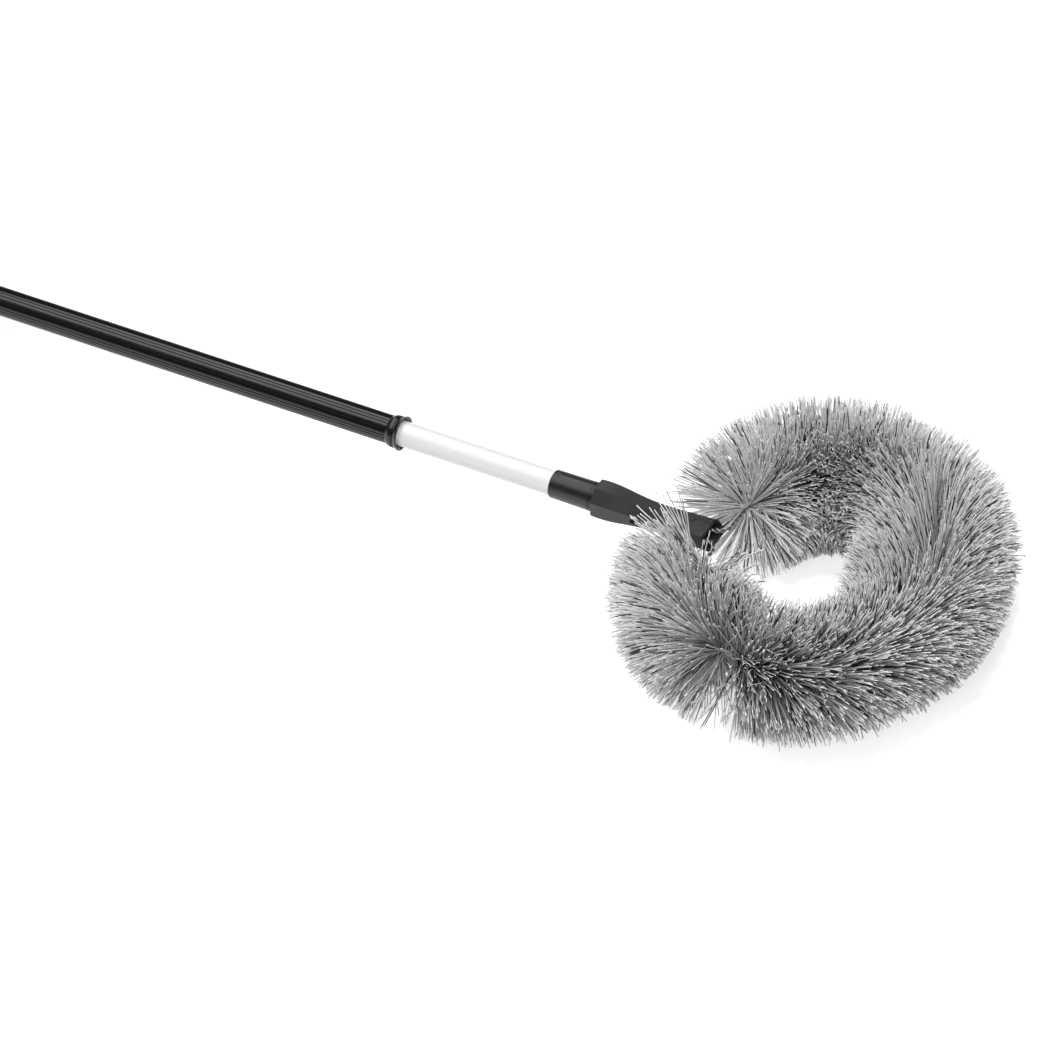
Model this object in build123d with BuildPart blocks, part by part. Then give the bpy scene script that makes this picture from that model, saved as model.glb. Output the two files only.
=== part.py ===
from build123d import *
from itertools import pairwise
from math import asin, atan, copysign, cos, degrees, hypot, pi, radians, sin
import os

# Long-handled ring brush for cobwebs, lying as it rests on a floor. Millimetres.
# +X runs along the pole towards the ring, +Y across it, +Z up. The origin is on the floor under
# the middle of the brush: the ring stands on its lower bristles and the pole on its end cap.

# Ring: the loop of twisted wire, measured on the wire's centreline
ring_length = 182
ring_width = 244
shank_reach = 26
loop_turn = 35

# Bristles: each strand stands for a lock of fine filaments that spreads towards its tip
bristle_reach = 62
floor_trim = 0.5
strand_count = 480
tuft_count = 12
strand_turn = 137.5
strand_root_size = 1.15
strand_tip_size = 2.4
root_sleeve_wall = 1.15
root_sleeve_clearance = 0.15
bare_wire_far = 17
bare_wire_near = 6
fan_reach = 14
fan_lean = 35

# Twisted pair of steel wires
wire_size = 2.0
wire_gap = 0.3
twist_pitch = 12
shank_offset = 6.5
shank_bend = 11
twist_into_roots = 3

# Socket that holds the ring
socket_length = 110
socket_width = 31.5
socket_wall = 2.0
mouth_gap = 4.5
mouth_slant = 8
cavity_depth = 46
spigot_bore_depth = 29
shank_bore_depth = 31.5
shank_bore_clearance = 0.2
tongue_length = 24
tongue_width = 13
tongue_depth = 0.5
screw_station = 38.5
screw_size = 4.2
screw_clearance = 0.2
screw_recess = 1.2
screw_slot_width = 0.8
screw_slot_depth = 1.0

# Sleeve between socket and pole, with the tapered spigot that the socket pushes onto
sleeve_length = 42
sleeve_back_size = 24.6
sleeve_front_size = 25.6
sleeve_edge = 0.6
sleeve_bore_clearance = 0.05
sleeve_cover = 38
spigot_length = 28
spigot_root_size = 22.0
spigot_tip_size = 21.0
spigot_bore_size = 15.0
spigot_clearance = 0.15
neck_ring_count = 4
neck_ring_pitch = 1.3
neck_ring_width = 0.5
neck_ring_depth = 0.3

# Snap catch that holds the sleeve on the tube
window_length = 4.2
window_width = 5.0
window_setback = 2.6
catch_clearance = 0.3
catch_stem_size = 2.6
catch_stem_clearance = 0.1
catch_seat_gap = 0.05
catch_sink = 0.2

# Pole tubes
inner_tube_size = 22.0
inner_tube_wall = 0.8
inner_tube_length = 615
exposed_length = 144
outer_tube_size = 25.0
outer_tube_bore = 22.7
outer_tube_length = 650
flute_count = 28
flute_width = 0.9
flute_depth = 0.45

# Collar on the front end of the outer tube
collar_length = 11.5
collar_slope = 3.0
collar_back_wall = 0.4
collar_band_size = 28.4
collar_groove_size = 26.8
collar_groove_width = 1.2
collar_flare = 3.4
collar_rim_size = 30.4
collar_rim_width = 1.0
collar_lip = 1.0
collar_flange = 2.0
collar_clearance = 0.05
guide_clearance = 0.1
dish_depth = 3.2

# End cap with its hanging hole
cap_size = 29
cap_flange = 3
cap_length = 34
cap_plug_length = 22
cap_plug_clearance = 0.05
cap_plug_wall = 2.0
cap_tab_width = 23
cap_tab_thickness = 9
cap_tab_edge = 1.5
hang_hole_size = 8.5

# Twist lock on the inner end of the inner tube
plug_length = 20
plug_flange_size = 21.8
plug_flange = 2
plug_clearance = 0.05
plug_pin_size = 2.5
plug_pin_setback = 4
plug_pin_clearance = 0.05
plug_pin_inset = 0.2
spindle_size = 6.0
spindle_seat = 12
spindle_length = 41
spindle_seat_clearance = 0.05
thread_lead = 2.0
unlock_turn = 180
lock_gap = 0.3
expander_size = 22.2
expander_length = 26
expander_head = 6
expander_slots = 4
slot_width = 2.4
slot_length = 18
cone_length = 12
cone_large_size = 20.6
cone_small_size = 14.0
cone_clearance = 0.2
cone_bite = 8
key_clearance = 0.2
running_clearance = 0.1
washer_size = 13
washer_thickness = 1
nut_size = 10
nut_thickness = 4

# One overrun for every cut that passes a face
overrun = 1.0

# The loop is three arcs a side, each tangent to the next, and is the same on both sides
core_height = bristle_reach - floor_trim
half_length = ring_length / 2
half_width = ring_width / 2
turn_cos = cos(radians(loop_turn))
turn_sin = sin(radians(loop_turn))
side_turn = 180 - 2 * loop_turn
side_room = (half_width - shank_reach) / (1 - turn_sin)
back_radius = (
    ring_length - (1 - turn_cos) * shank_reach / turn_sin - 2 * turn_cos * side_room
) / (2 * (1 - turn_cos) - 2 * turn_cos * turn_sin / (1 - turn_sin))
side_radius = side_room - turn_sin * back_radius / (1 - turn_sin)
front_radius = back_radius + shank_reach / turn_sin
print("loop radii", back_radius, side_radius, front_radius)

# Stations along the pole's axis, from the line of the wires behind the ring, positive to the ring
mouth_u = -mouth_gap
socket_back_u = mouth_u - socket_length
sleeve_back_u = socket_back_u - sleeve_length
collar_front_u = sleeve_back_u - exposed_length
tube_front_u = collar_front_u - dish_depth - collar_flange
tube_back_u = tube_front_u - outer_tube_length
cap_flange_u = tube_back_u - cap_flange
cap_end_u = tube_back_u - cap_length
inner_front_u = sleeve_back_u + sleeve_cover
inner_back_u = inner_front_u - inner_tube_length

# The pole leans from the ring's height down to the floor under its end cap
pole_tilt = asin(core_height / hypot(cap_flange_u, cap_size / 2)) - atan(cap_size / 2 / -cap_flange_u)
front_x = half_length + bristle_reach
back_x = -half_length + cap_end_u * cos(pole_tilt)
ring_x = -(front_x + back_x) / 2
hitch = Vector(ring_x - half_length, 0, core_height)
pole_dir = Vector(cos(pole_tilt), 0, sin(pole_tilt))
pole_up = Vector(-sin(pole_tilt), 0, cos(pole_tilt))
across = Vector(0, 1, 0)
pole_axis = Axis(hitch, pole_dir)
side_view = Plane(origin=hitch, x_dir=pole_dir, z_dir=-across)
top_view = Plane(origin=hitch, x_dir=pole_dir, z_dir=pole_up)
floor = Plane.XY
print("pole tilt", degrees(pole_tilt), "ring centre x", ring_x, "full length", front_x - back_x)


def station(u):
    """The plane square to the pole at a station, its x across and its y up."""
    return Plane(origin=hitch + pole_dir * u, x_dir=across, z_dir=pole_dir)


def profile(points):
    """A closed outline of stations and radii beside the pole's axis, to be turned about it."""
    with BuildSketch(side_view) as outline:
        with BuildLine():
            Polyline(*points, close=True)
        make_face()
    return outline.sketch


def keep(piece, name):
    """Names a finished piece and writes it."""
    piece.part.label = name
    export_step(piece.part, f"parts/{name}.step")


os.makedirs("parts", exist_ok=True)

# Head socket: a moulded eight-sided body, square in the hand at the back and drawn flat at the
# mouth. Shares of its length, and of its width: half width, half height and corner cut
socket_shares = [
    (0.0, 0.5, 0.5, 0.292),
    (0.17, 0.492, 0.485, 0.283),
    (0.35, 0.44, 0.385, 0.24),
    (0.53, 0.432, 0.3, 0.195),
    (0.75, 0.476, 0.236, 0.14),
    (1.0, 0.53, 0.2, 0.11),
]


def socket_section(along_share):
    """Half width, half height and corner of the socket's outer form, a share of the way along."""
    before = max(row for row in socket_shares if row[0] <= along_share)
    after = min(row for row in socket_shares if row[0] >= along_share)
    run = (along_share - before[0]) / (after[0] - before[0]) if after > before else 0
    return [(a + (b - a) * run) * socket_width for a, b in zip(before[1:], after[1:])]


def eight_sides(along_share, wall=0):
    """The socket's upright outline at a share of its length, a wall inside the outer form."""
    half_wide, half_high, corner = socket_section(along_share)
    half_wide -= wall
    half_high -= wall
    corner -= wall / 2
    with BuildSketch(station(socket_back_u + along_share * socket_length)) as outline:
        with BuildLine():
            Polyline(
                (half_wide, half_high - corner),
                (half_wide - corner, half_high),
                (corner - half_wide, half_high),
                (-half_wide, half_high - corner),
                (-half_wide, corner - half_high),
                (corner - half_wide, -half_high),
                (half_wide - corner, -half_high),
                (half_wide, corner - half_high),
                close=True,
            )
        make_face()
    return outline.sketch


cavity_end_u = mouth_u - cavity_depth
cavity_end_share = 1 - cavity_depth / socket_length
cavity_stations = [cavity_end_share] + [row[0] for row in socket_shares if row[0] > cavity_end_share]
shank_start_u = cavity_end_u - shank_bore_depth
pair_radius = (wire_size + wire_gap) / 2
stem_radius = pair_radius + wire_size / 2
shank_bore_radius = stem_radius + shank_bore_clearance
screw_u = socket_back_u + screw_station
screw_face = socket_section(screw_station / socket_length)[0]
screw_start = shank_offset + stem_radius + shank_bore_clearance / 2
mouth_half_high = socket_section(1)[1]
tongue_back_half_high = socket_section(1 - tongue_length / socket_length)[1]
tongue_slope = atan((tongue_back_half_high - mouth_half_high) / tongue_length)

with BuildPart() as head_socket:
    loft([eight_sides(row[0]) for row in socket_shares])
    loft([eight_sides(share, socket_wall) for share in cavity_stations], mode=Mode.SUBTRACT)
    revolve(profile([
        (socket_back_u - overrun, 0),
        (socket_back_u - overrun, spigot_root_size / 2 + spigot_clearance),
        (socket_back_u, spigot_root_size / 2 + spigot_clearance),
        (socket_back_u + spigot_bore_depth, spigot_tip_size / 2 + spigot_clearance),
        (socket_back_u + spigot_bore_depth, 0),
    ]), axis=pole_axis, mode=Mode.SUBTRACT)
    with BuildSketch(station(shank_start_u)):
        with Locations((shank_offset, 0), (-shank_offset, 0)):
            Circle(shank_bore_radius)
    extrude(amount=shank_bore_depth + overrun, mode=Mode.SUBTRACT)
    for side in (1, -1):
        screw_axis = hitch + pole_dir * screw_u + across * side * shank_offset
        with BuildSketch(Plane(origin=screw_axis, x_dir=pole_dir, z_dir=across * side)):
            Circle(screw_size / 2 + screw_clearance)
        extrude(amount=screw_face + overrun - shank_offset, mode=Mode.SUBTRACT)
    tongue_dir = pole_dir * cos(tongue_slope) - pole_up * sin(tongue_slope)
    tongue_up = pole_dir * sin(tongue_slope) + pole_up * cos(tongue_slope)
    tongue_origin = hitch + pole_dir * mouth_u + pole_up * mouth_half_high - tongue_up * tongue_depth
    with BuildSketch(Plane(origin=tongue_origin, x_dir=tongue_dir, z_dir=tongue_up)):
        SlotOverall(2 * tongue_length, tongue_width)
    extrude(amount=tongue_depth + overrun, mode=Mode.SUBTRACT)
    lip = Plane(
        origin=hitch + pole_dir * (mouth_u - mouth_slant / 2),
        x_dir=across,
        z_dir=(pole_dir * (2 * mouth_half_high) + pole_up * mouth_slant).normalized(),
    )
    split(bisect_by=lip, keep=Keep.BOTTOM)
keep(head_socket, "head_socket")

# Two slotted set screws, one in each side of the socket, that pinch the wires' ends
with BuildPart() as shank_screws:
    for side in (1, -1):
        screw_seat = hitch + pole_dir * screw_u + across * side * screw_start
        screw_head = hitch + pole_dir * screw_u + across * side * (screw_face - screw_recess)
        with BuildSketch(Plane(origin=screw_seat, x_dir=pole_dir, z_dir=across * side)):
            Circle(screw_size / 2)
        extrude(amount=screw_face - screw_recess - screw_start)
        with BuildSketch(Plane(origin=screw_head, x_dir=pole_dir, z_dir=-across * side)):
            Rectangle(screw_slot_width, screw_size + overrun)
        extrude(amount=screw_slot_depth, mode=Mode.SUBTRACT)
keep(shank_screws, "shank_screws")

# Loop centreline as runs of length and left turn, from the end of the far shank round to the
# end of the near one. Behind the line of the wires it lies along the pole, before it level
shank_end_u = shank_start_u + shank_bore_clearance
shank_runs = [
    (-shank_bend - shank_end_u, 0),
    (shank_bend * pi / 2, 90),
    (shank_reach - shank_offset - shank_bend, 0),
]
ring_runs = [
    (back_radius * radians(loop_turn), -loop_turn),
    (side_radius * radians(side_turn), -side_turn),
    (front_radius * radians(2 * loop_turn), -2 * loop_turn),
    (side_radius * radians(side_turn), -side_turn),
    (back_radius * radians(loop_turn), -loop_turn),
]
loop_runs = shank_runs + ring_runs + shank_runs[::-1]
run_stops = [sum(length for length, turn in loop_runs[: count + 1]) for count in range(len(loop_runs))]
shank_length = sum(length for length, turn in shank_runs)
loop_length = run_stops[-1]
bristle_start = shank_length + bare_wire_far
bristle_stop = loop_length - shank_length - bare_wire_near
print("wire centreline", loop_length, "bristled", bristle_stop - bristle_start)


def loop_place(distance):
    """Point, heading and up of the centreline, a distance from the end of the far shank."""
    u, v, heading = shank_end_u, shank_offset, 0
    for length, turn in loop_runs:
        step = min(distance, length)
        distance -= step
        if turn:
            radius = copysign(length / radians(abs(turn)), turn)
            swing = radians(turn) * step / length
            u += radius * (sin(heading + swing) - sin(heading))
            v += radius * (cos(heading) - cos(heading + swing))
            heading += swing
        else:
            u += step * cos(heading)
            v += step * sin(heading)
    in_pole = round(u, 6) < 0
    along = pole_dir if in_pole else Vector(1, 0, 0)
    up = pole_up if in_pole else Vector(0, 0, 1)
    return hitch + along * u + across * v, along * cos(heading) + across * sin(heading), up


def loop_arcs(first, last, lift=0):
    """Draws the loop's arcs between two distances, at a height above its centreline."""
    stops = [first] + [stop for stop in run_stops if first < stop < last] + [last]
    for start, end in pairwise(stops):
        middle = (start + end) / 2
        points = [loop_place(distance)[0] + Vector(0, 0, lift) for distance in (start, middle, end)]
        ThreePointArc(*points)


def two_arcs(start, end, leaving, arriving):
    """Draws two tangent arcs from a point to a point, between two headings."""
    span = end - start
    both = leaving + arriving
    spread = 2 * (1 - leaving.dot(arriving))
    if spread > 0:
        slack = span.dot(both)
        reach = (hypot(slack, (spread * span.dot(span)) ** (1 / 2)) - slack) / spread
    else:
        reach = span.dot(span) / (2 * span.dot(both))
    knee_from = start + leaving * reach
    knee_to = end - arriving * reach
    knee = (knee_from + knee_to) / 2
    TangentArc(start, knee, tangent=leaving)
    TangentArc(knee, end, tangent=(knee_to - knee_from).normalized())


# Each wire is twisted with the other where it is bare, and lies level with it in the bristles
twist_stop = bristle_start + twist_into_roots
twist_again = bristle_stop - twist_into_roots
quarter = twist_pitch / 4
far_quarters = int(twist_stop / quarter)
near_quarters = int((loop_length - twist_again) / quarter)


def twist_place(distance, level_at, side):
    """Point and heading of one twisted wire, which lies straight above or below at level_at."""
    point, ahead, up = loop_place(distance)
    outward = up.cross(ahead)
    turn = side * pi / 2 + 2 * pi * (distance - level_at) / twist_pitch
    offset = outward * cos(turn) + up * sin(turn)
    sweep_way = up * cos(turn) - outward * sin(turn)
    heading = ahead + sweep_way * (2 * pi * pair_radius / twist_pitch)
    if distance == level_at:
        heading = ahead
    return point + offset * pair_radius, heading.normalized()


def twisted_wire(side):
    """One of the two wires, from end to end: side 1 lies on top in the bristles, -1 below."""
    far_end = [twist_stop - count * quarter for count in range(far_quarters, -1, -1)]
    near_end = [twist_again + count * quarter for count in range(near_quarters + 1)]
    far_places = [twist_place(distance, twist_stop, side) for distance in far_end]
    near_places = [twist_place(distance, twist_again, side) for distance in near_end]
    with BuildPart() as wire:
        with BuildLine():
            for before, after in pairwise(far_places):
                two_arcs(before[0], after[0], before[1], after[1])
            loop_arcs(twist_stop, twist_again, side * pair_radius)
            for before, after in pairwise(near_places):
                two_arcs(before[0], after[0], before[1], after[1])
        with BuildSketch(Plane(origin=far_places[0][0], z_dir=far_places[0][1])):
            Circle(wire_size / 2)
        sweep()
    return wire


for name, side in (("core_wire_upper", 1), ("core_wire_lower", -1)):
    core_wire = twisted_wire(side)
    print(name, "volume over section and length", core_wire.part.volume / (pi * wire_size**2 / 4 * loop_length))
    keep(core_wire, name)

# Bristle tufts round the ring: strands that start in a sleeve of packed roots round the wires
root_bore_radius = stem_radius + root_sleeve_clearance
root_sleeve_radius = root_bore_radius + root_sleeve_wall
root_start = root_bore_radius + root_sleeve_wall / 2
strand_step = (bristle_stop - bristle_start) / strand_count
tuft_step = (bristle_stop - bristle_start) / tuft_count
strands_per_tuft = strand_count // tuft_count


def strand(number):
    """One strand: square, and turned round the wire from the last. It leans out at the ends."""
    distance = bristle_start + (number + 1 / 2) * strand_step
    point, ahead, up = loop_place(distance)
    turn = radians(number * strand_turn)
    radial = ahead.cross(up) * cos(turn) + up * sin(turn)
    start_share = max(0, 1 - (distance - bristle_start) / fan_reach)
    stop_share = max(0, 1 - (bristle_stop - distance) / fan_reach)
    lean = radians(fan_lean) * (stop_share - start_share) * (1 + cos(turn)) / 2
    direction = radial * cos(lean) + ahead * sin(lean)
    root_point = point + radial * root_start
    tip_point = root_point + direction * (bristle_reach - root_start)
    root = Plane(origin=root_point, x_dir=ahead, z_dir=direction)
    tip = Plane(origin=tip_point, x_dir=ahead, z_dir=direction)
    root_square = root * Rectangle(strand_root_size, strand_root_size)
    return loft([root_square, tip * Rectangle(strand_tip_size, strand_tip_size)])


for tuft_number in range(tuft_count):
    first_strand = tuft_number * strands_per_tuft
    strands = [strand(number) for number in range(first_strand, first_strand + strands_per_tuft)]
    tuft_start = bristle_start + tuft_number * tuft_step
    start_point, start_heading, start_up = loop_place(tuft_start)
    with BuildPart() as tuft:
        with BuildLine():
            loop_arcs(tuft_start, tuft_start + tuft_step)
        with BuildSketch(Plane(origin=start_point, x_dir=start_up, z_dir=start_heading)):
            Circle(root_sleeve_radius)
            Circle(root_bore_radius, mode=Mode.SUBTRACT)
        sweep()
        add(strands)
        split(bisect_by=floor, keep=Keep.TOP)
    keep(tuft, f"bristle_tuft_{tuft_number + 1:02d}")

# Sleeve: a satin moulding on the end of the inner tube, its spigot inside the socket
sleeve_bore = inner_tube_size / 2 + sleeve_bore_clearance
window_u = sleeve_back_u + window_setback + window_length / 2
sleeve_rise = (sleeve_front_size - sleeve_back_size) / 2 / sleeve_length

with BuildPart() as spigot_sleeve:
    revolve(profile([
        (sleeve_back_u, sleeve_bore),
        (sleeve_back_u, sleeve_back_size / 2 - sleeve_edge),
        (sleeve_back_u + sleeve_edge, sleeve_back_size / 2),
        (socket_back_u, sleeve_front_size / 2),
        (socket_back_u, spigot_root_size / 2),
        (socket_back_u + spigot_length, spigot_tip_size / 2),
        (socket_back_u + spigot_length, spigot_bore_size / 2),
        (inner_front_u, spigot_bore_size / 2),
        (inner_front_u, sleeve_bore),
    ]), axis=pole_axis)
    for count in range(neck_ring_count):
        ring_u = socket_back_u - (count + 1) * neck_ring_pitch
        ring_radius = sleeve_front_size / 2 - neck_ring_depth
        revolve(profile([
            (ring_u, ring_radius),
            (ring_u + neck_ring_width, ring_radius),
            (ring_u + neck_ring_width, ring_radius + overrun),
            (ring_u, ring_radius + overrun),
        ]), axis=pole_axis, mode=Mode.SUBTRACT)
    with BuildSketch(top_view):
        with Locations((window_u, 0)):
            Rectangle(window_length, window_width)
    extrude(amount=sleeve_front_size, mode=Mode.SUBTRACT)
keep(spigot_sleeve, "spigot_sleeve")

# Catch: a small stud riveted in the tube, standing in the sleeve's window
catch_radius = sleeve_back_size / 2 - catch_sink
with BuildPart() as sleeve_catch:
    with BuildSketch(top_view):
        with Locations((window_u, 0)):
            Rectangle(window_length - 2 * catch_clearance, window_width - 2 * catch_clearance)
    extrude(amount=catch_radius)
    revolve(profile([
        (window_u - window_length, 0),
        (window_u - window_length, inner_tube_size / 2 + catch_seat_gap),
        (window_u + window_length, inner_tube_size / 2 + catch_seat_gap),
        (window_u + window_length, 0),
    ]), axis=pole_axis, mode=Mode.SUBTRACT)
    catch_foot = hitch + pole_dir * window_u + pole_up * (inner_tube_size / 2 - inner_tube_wall)
    with BuildSketch(Plane(origin=catch_foot, x_dir=pole_dir, z_dir=pole_up)):
        Circle(catch_stem_size / 2)
    extrude(amount=inner_tube_wall + catch_radius - inner_tube_size / 2)
keep(sleeve_catch, "sleeve_catch")

# Inner tube: white lacquered steel, drilled for the catch and for the plug's pin
plug_pin_u = inner_back_u + plug_length - plug_flange - plug_pin_setback
with BuildPart() as inner_tube:
    with BuildSketch(station(inner_back_u)):
        Circle(inner_tube_size / 2)
        Circle(inner_tube_size / 2 - inner_tube_wall, mode=Mode.SUBTRACT)
    extrude(amount=inner_tube_length)
    with BuildSketch(top_view):
        with Locations((window_u, 0)):
            Circle(catch_stem_size / 2 + catch_stem_clearance)
    extrude(amount=inner_tube_size, mode=Mode.SUBTRACT)
    with BuildSketch(side_view):
        with Locations((plug_pin_u, 0)):
            Circle(plug_pin_size / 2 + plug_pin_clearance)
    extrude(amount=inner_tube_size, both=True, mode=Mode.SUBTRACT)
keep(inner_tube, "inner_tube")

# Plug in the inner tube's end, pinned through it, that carries the lock's spindle
plug_back_u = inner_back_u - plug_flange
plug_radius = inner_tube_size / 2 - inner_tube_wall - plug_clearance
with BuildPart() as lock_plug:
    revolve(profile([
        (plug_back_u, 0),
        (plug_back_u, plug_flange_size / 2),
        (inner_back_u, plug_flange_size / 2),
        (inner_back_u, plug_radius),
        (plug_back_u + plug_length, plug_radius),
        (plug_back_u + plug_length, 0),
    ]), axis=pole_axis)
    with BuildSketch(station(plug_back_u)):
        Circle(spindle_size / 2 + spindle_seat_clearance)
    extrude(amount=spindle_seat, mode=Mode.SUBTRACT)
    with BuildSketch(side_view):
        with Locations((plug_pin_u, 0)):
            Circle(plug_pin_size / 2 + plug_pin_clearance)
    extrude(amount=inner_tube_size, both=True, mode=Mode.SUBTRACT)
keep(lock_plug, "lock_plug")

with BuildPart() as plug_pin:
    with BuildSketch(side_view):
        with Locations((plug_pin_u, 0)):
            Circle(plug_pin_size / 2)
    extrude(amount=inner_tube_size / 2 - plug_pin_inset, both=True)
keep(plug_pin, "plug_pin")

# Spindle: the lock's steel screw, fixed in the plug and plain where its thread would be
spindle_back_u = plug_back_u - spindle_length
with BuildPart() as lock_spindle:
    with BuildSketch(station(spindle_back_u)):
        Circle(spindle_size / 2)
    extrude(amount=spindle_length + spindle_seat - spindle_seat_clearance)
keep(lock_spindle, "lock_spindle")

# Expander: a slotted sleeve that the cone spreads against the outer tube's wall
expander_front_u = plug_back_u - lock_gap
expander_back_u = expander_front_u - expander_length
cone_front_u = expander_back_u + cone_bite
cone_back_u = cone_front_u - cone_length
cone_rise = (cone_large_size - cone_small_size) / 2 / cone_length
seat_radius = cone_small_size / 2 + cone_clearance
spindle_bore = spindle_size / 2 + running_clearance
with BuildPart() as lock_expander:
    revolve(profile([
        (expander_front_u, spindle_bore),
        (expander_front_u, expander_size / 2),
        (expander_back_u, expander_size / 2),
        (expander_back_u, seat_radius + cone_rise * cone_bite),
        (cone_front_u, seat_radius),
        (expander_front_u - expander_head, seat_radius),
        (expander_front_u - expander_head, spindle_bore),
    ]), axis=pole_axis)
    with BuildSketch(station(expander_back_u)):
        with PolarLocations(expander_size / 2, expander_slots):
            Rectangle(expander_size - spindle_size, slot_width)
    extrude(amount=slot_length, mode=Mode.SUBTRACT)
keep(lock_expander, "lock_expander")

# Cone nut: runs on the spindle, kept from turning by its keys in the expander's slots
with BuildPart() as cone_nut:
    revolve(profile([
        (cone_front_u, 0),
        (cone_front_u, cone_small_size / 2),
        (cone_back_u, cone_large_size / 2),
        (cone_back_u, 0),
    ]), axis=pole_axis)
    with BuildSketch(station(cone_back_u)):
        with PolarLocations(cone_large_size / 4, expander_slots):
            Rectangle(cone_large_size / 2, slot_width - 2 * key_clearance)
    extrude(amount=cone_length)
    with BuildSketch(station(cone_back_u)):
        Circle(spindle_bore)
    extrude(amount=cone_length, mode=Mode.SUBTRACT)
keep(cone_nut, "cone_nut")

# Washer and stop nut at the end of the spindle, clear of the cone when the lock is let go
unlock_travel = thread_lead * unlock_turn / 360
washer_front_u = cone_back_u - unlock_travel - lock_gap
nut_front_u = washer_front_u - washer_thickness
with BuildPart() as stop_washer:
    with BuildSketch(station(nut_front_u)):
        Circle(washer_size / 2)
        Circle(spindle_size / 2 + spindle_seat_clearance, mode=Mode.SUBTRACT)
    extrude(amount=washer_thickness)
keep(stop_washer, "stop_washer")

with BuildPart() as stop_nut:
    with BuildSketch(station(nut_front_u - nut_thickness)):
        RegularPolygon(nut_size / 2, 6, major_radius=False)
        Circle(spindle_size / 2 + spindle_seat_clearance, mode=Mode.SUBTRACT)
    extrude(amount=nut_thickness)
keep(stop_nut, "stop_nut")

# Outer tube: glossy black, with fine flutes along its whole length
with BuildPart() as outer_tube:
    with BuildSketch(station(tube_back_u)):
        Circle(outer_tube_size / 2)
        Circle(outer_tube_bore / 2, mode=Mode.SUBTRACT)
        with PolarLocations(outer_tube_size / 2, flute_count):
            Rectangle(2 * flute_depth, flute_width, mode=Mode.SUBTRACT)
    extrude(amount=outer_tube_length)
keep(outer_tube, "outer_tube")

# Front collar: snapped over the tube's end, it guides the inner tube and ends in a thin lip
collar_back_u = collar_front_u - collar_length
collar_bore = outer_tube_size / 2 + collar_clearance
guide_radius = inner_tube_size / 2 + guide_clearance
groove_front_u = collar_front_u - collar_rim_width - collar_flare
groove_back_u = groove_front_u - collar_groove_width
with BuildPart() as front_collar:
    revolve(profile([
        (collar_back_u, collar_bore),
        (collar_back_u, collar_bore + collar_back_wall),
        (collar_back_u + collar_slope, collar_band_size / 2),
        (groove_back_u, collar_band_size / 2),
        (groove_back_u, collar_groove_size / 2),
        (groove_front_u, collar_groove_size / 2),
        (collar_front_u - collar_rim_width, collar_rim_size / 2),
        (collar_front_u, collar_rim_size / 2),
        (collar_front_u, collar_rim_size / 2 - collar_lip),
        (collar_front_u - dish_depth, guide_radius),
        (tube_front_u, guide_radius),
        (tube_front_u, collar_bore),
    ]), axis=pole_axis)
keep(front_collar, "front_collar")

# End cap: plugged into the outer tube, with a flat tab to hang the brush by
cap_plug_radius = outer_tube_bore / 2 - cap_plug_clearance
tab_centre_u = cap_end_u + cap_tab_width / 2
with BuildPart() as end_cap:
    with BuildSketch(top_view):
        with Locations((tab_centre_u, 0)):
            Circle(cap_tab_width / 2)
        with Locations(((tab_centre_u + cap_flange_u) / 2, 0)):
            Rectangle(cap_flange_u - tab_centre_u, cap_tab_width)
    extrude(amount=cap_tab_thickness / 2, both=True)
    tab_faces = end_cap.faces().sort_by(Axis(hitch, pole_up))
    tab_rims = [tab_faces[0].edges(), tab_faces[-1].edges()]
    cap_rims = [rim for edges in tab_rims for rim in edges if (rim.center() - hitch).dot(pole_dir) < cap_flange_u]
    fillet([rim for rim in cap_rims if abs((rim.center() - hitch).dot(pole_dir) - cap_flange_u) > cap_tab_edge], cap_tab_edge)
    revolve(profile([
        (cap_flange_u, 0),
        (cap_flange_u, cap_size / 2),
        (tube_back_u, cap_size / 2),
        (tube_back_u, cap_plug_radius),
        (tube_back_u + cap_plug_length, cap_plug_radius),
        (tube_back_u + cap_plug_length, cap_plug_radius - cap_plug_wall),
        (tube_back_u, cap_plug_radius - cap_plug_wall),
        (tube_back_u, 0),
    ]), axis=pole_axis)
    with BuildSketch(top_view):
        with Locations((tab_centre_u, 0)):
            Circle(hang_hole_size / 2)
    extrude(amount=cap_tab_thickness, both=True, mode=Mode.SUBTRACT)
keep(end_cap, "end_cap")
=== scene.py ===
import math

import bpy
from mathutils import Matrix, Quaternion, Vector


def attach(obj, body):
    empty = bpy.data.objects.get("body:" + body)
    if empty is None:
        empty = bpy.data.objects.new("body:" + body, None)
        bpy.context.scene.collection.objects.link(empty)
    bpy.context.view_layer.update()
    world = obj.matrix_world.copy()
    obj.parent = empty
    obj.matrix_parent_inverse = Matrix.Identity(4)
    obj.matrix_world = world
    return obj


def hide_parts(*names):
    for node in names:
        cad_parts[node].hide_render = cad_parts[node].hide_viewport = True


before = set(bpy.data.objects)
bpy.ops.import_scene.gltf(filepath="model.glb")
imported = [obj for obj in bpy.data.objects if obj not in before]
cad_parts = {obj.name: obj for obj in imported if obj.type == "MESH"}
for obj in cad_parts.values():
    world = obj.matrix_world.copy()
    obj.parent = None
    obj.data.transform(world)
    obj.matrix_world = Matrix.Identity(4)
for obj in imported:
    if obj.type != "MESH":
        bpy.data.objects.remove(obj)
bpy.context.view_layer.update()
scene = bpy.context.scene

# Camera: a long lens above the brush and off the near side of its ring. The pole runs out of the
# picture at the left, as it does in the photograph.
image_width = 1059
focal_pixels = 6066
camera_azimuth = math.radians(27.65)
camera_elevation = math.radians(42.71)
camera_roll = math.radians(0.99)
camera_distance = 5.005
camera_aim = Vector((0.22895, -0.06774, 0.062))

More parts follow.
